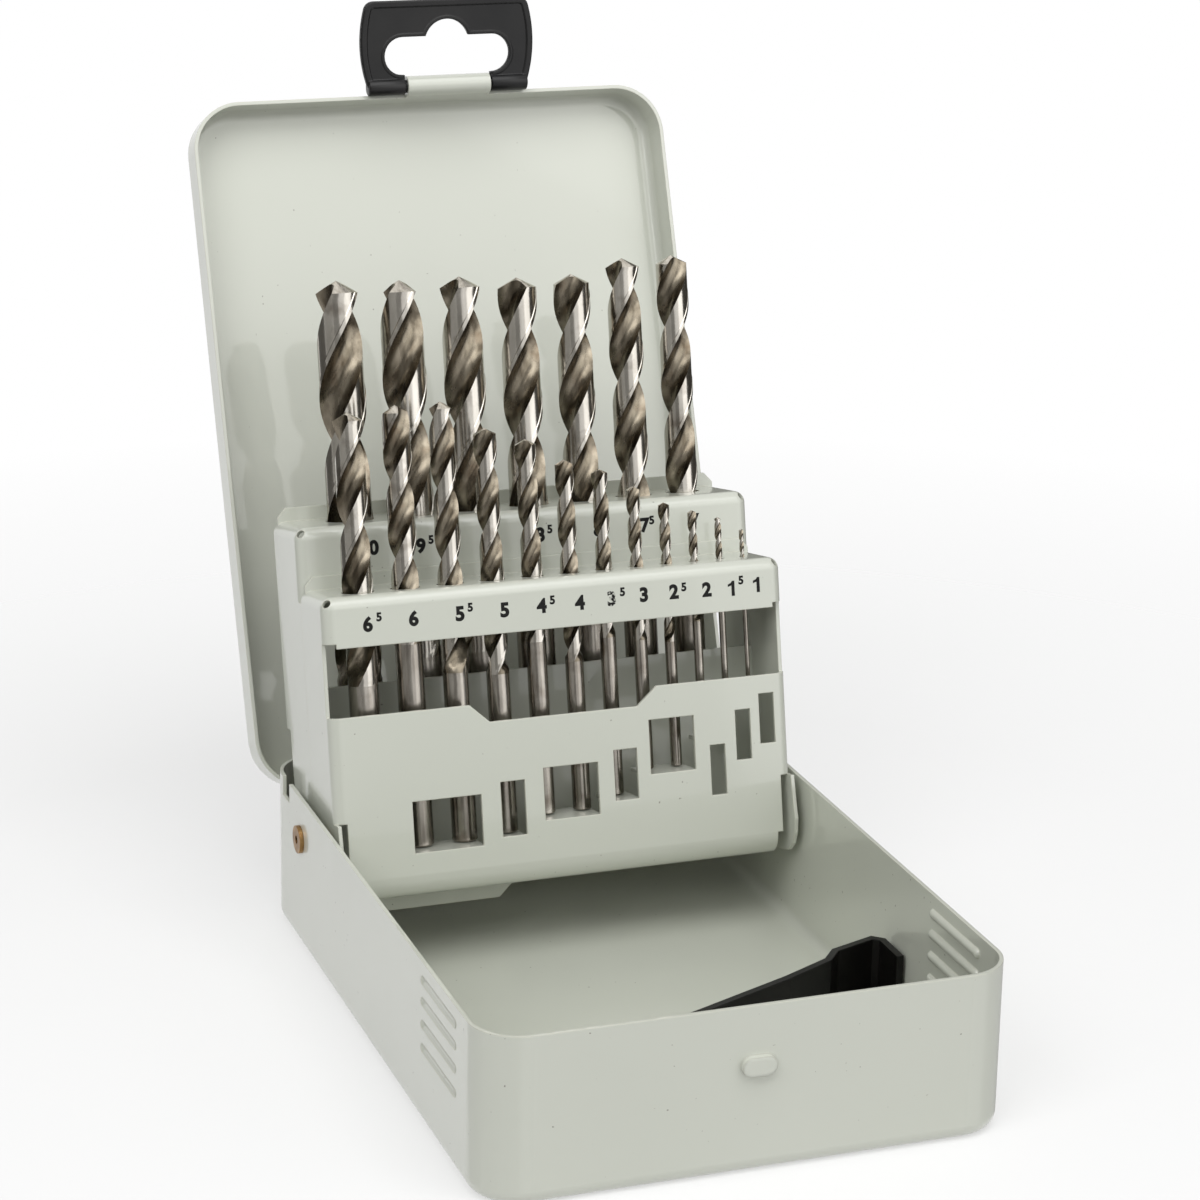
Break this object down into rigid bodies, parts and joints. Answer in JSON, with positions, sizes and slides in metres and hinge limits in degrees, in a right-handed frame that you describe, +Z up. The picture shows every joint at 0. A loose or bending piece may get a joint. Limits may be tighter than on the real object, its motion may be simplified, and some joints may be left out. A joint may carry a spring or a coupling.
{
  "type": "hinged drill bit case",
  "caption": "Open sheet-steel drill case with a hinged lid, swing-up two-step rack of graded twist drills, hinged plastic hanger and tip retainer.",
  "frame": {"origin": "middle of the underside of the tray", "axes": "+Z up, -Y the front of the case where the lid latches, +X to the right seen from the front"},
  "size_m": [0.1106, 0.2166, 0.1893],
  "materials": {
    "paint": "gloss",
    "steel": "satin",
    "drill_steel": "satin",
    "copper": "satin",
    "plastic": "satin"
  },
  "bodies": {
    "tray": {"tray_shell": "paint", "hinge_pin": "steel", "rivet_left": "copper", "rivet_right": "copper", "retainer": "plastic"},
    "lid": {"lid_shell": "paint"},
    "hanger": {"hanger": "plastic"},
    "rack": {"rack_front": "paint", "rack_rear": "paint"},
    "drill_1_0": {"drill_1_0": "drill_steel"},
    "drill_1_5": {"drill_1_5": "drill_steel"},
    "drill_2_0": {"drill_2_0": "drill_steel"},
    "drill_2_5": {"drill_2_5": "drill_steel"},
    "drill_3_0": {"drill_3_0": "drill_steel"},
    "drill_3_5": {"drill_3_5": "drill_steel"},
    "drill_4_0": {"drill_4_0": "drill_steel"},
    "drill_4_5": {"drill_4_5": "drill_steel"},
    "drill_5_0": {"drill_5_0": "drill_steel"},
    "drill_5_5": {"drill_5_5": "drill_steel"},
    "drill_6_0": {"drill_6_0": "drill_steel"},
    "drill_6_5": {"drill_6_5": "drill_steel"},
    "drill_7_0": {"drill_7_0": "drill_steel"},
    "drill_7_5": {"drill_7_5": "drill_steel"},
    "drill_8_0": {"drill_8_0": "drill_steel"},
    "drill_8_5": {"drill_8_5": "drill_steel"},
    "drill_9_0": {"drill_9_0": "drill_steel"},
    "drill_9_5": {"drill_9_5": "drill_steel"},
    "drill_10_0": {"drill_10_0": "drill_steel"}
  },
  "joints": [
    {"name": "lid_hinge", "type": "hinge", "parent": "tray", "child": "lid", "pos_m": [0, 0.0739, 0.0298], "axis": [-1, 0, 0], "range_deg": [-111.5, 0]},
    {"name": "rack_hinge", "type": "hinge", "parent": "tray", "child": "rack", "pos_m": [0, 0.05, 0.0252], "axis": [-1, 0, 0], "range_deg": [-102, 0]},
    {"name": "hanger_swing", "type": "hinge", "parent": "lid", "child": "hanger", "pos_m": [0.004, 0.13132, 0.17012], "axis": [-1, 0, 0], "range_deg": [-75, 30]},
    {"name": "drill_1_0_slide", "type": "slide", "parent": "rack", "child": "drill_1_0", "axis": [0, 0.2079, 0.9781], "range_m": [0, 0.031]},
    {"name": "drill_1_5_slide", "type": "slide", "parent": "rack", "child": "drill_1_5", "axis": [0, 0.2079, 0.9781], "range_m": [0, 0.034]},
    {"name": "drill_2_0_slide", "type": "slide", "parent": "rack", "child": "drill_2_0", "axis": [0, 0.2079, 0.9781], "range_m": [0, 0.041]},
    {"name": "drill_2_5_slide", "type": "slide", "parent": "rack", "child": "drill_2_5", "axis": [0, 0.2079, 0.9781], "range_m": [0, 0.0468]},
    {"name": "drill_3_0_slide", "type": "slide", "parent": "rack", "child": "drill_3_0", "axis": [0, 0.2079, 0.9781], "range_m": [0, 0.0468]},
    {"name": "drill_3_5_slide", "type": "slide", "parent": "rack", "child": "drill_3_5", "axis": [0, 0.2079, 0.9781], "range_m": [0, 0.0515]},
    {"name": "drill_4_0_slide", "type": "slide", "parent": "rack", "child": "drill_4_0", "axis": [0, 0.2079, 0.9781], "range_m": [0, 0.0539]},
    {"name": "drill_4_5_slide", "type": "slide", "parent": "rack", "child": "drill_4_5", "axis": [0, 0.2079, 0.9781], "range_m": [0, 0.0539]},
    {"name": "drill_5_0_slide", "type": "slide", "parent": "rack", "child": "drill_5_0", "axis": [0, 0.2079, 0.9781], "range_m": [0, 0.0569]},
    {"name": "drill_5_5_slide", "type": "slide", "parent": "rack", "child": "drill_5_5", "axis": [0, 0.2079, 0.9781], "range_m": [0, 0.0577]},
    {"name": "drill_6_0_slide", "type": "slide", "parent": "rack", "child": "drill_6_0", "axis": [0, 0.2079, 0.9781], "range_m": [0, 0.0577]},
    {"name": "drill_6_5_slide", "type": "slide", "parent": "rack", "child": "drill_6_5", "axis": [0, 0.2079, 0.9781], "range_m": [0, 0.0665]},
    {"name": "drill_7_0_slide", "type": "slide", "parent": "rack", "child": "drill_7_0", "axis": [0, 0.2079, 0.9781], "range_m": [0, 0.0599]},
    {"name": "drill_7_5_slide", "type": "slide", "parent": "rack", "child": "drill_7_5", "axis": [0, 0.2079, 0.9781], "range_m": [0, 0.0599]},
    {"name": "drill_8_0_slide", "type": "slide", "parent": "rack", "child": "drill_8_0", "axis": [0, 0.2079, 0.9781], "range_m": [0, 0.0706]},
    {"name": "drill_8_5_slide", "type": "slide", "parent": "rack", "child": "drill_8_5", "axis": [0, 0.2079, 0.9781], "range_m": [0, 0.0706]},
    {"name": "drill_9_0_slide", "type": "slide", "parent": "rack", "child": "drill_9_0", "axis": [0, 0.2079, 0.9781], "range_m": [0, 0.0776]},
    {"name": "drill_9_5_slide", "type": "slide", "parent": "rack", "child": "drill_9_5", "axis": [0, 0.2079, 0.9781], "range_m": [0, 0.0776]},
    {"name": "drill_10_0_slide", "type": "slide", "parent": "rack", "child": "drill_10_0", "axis": [0, 0.2079, 0.9781], "range_m": [0, 0.0849]}
  ],
  "couplings": [
    {"joint": "rack_hinge", "follows": "lid_hinge", "ratio": 0.9147}
  ]
}
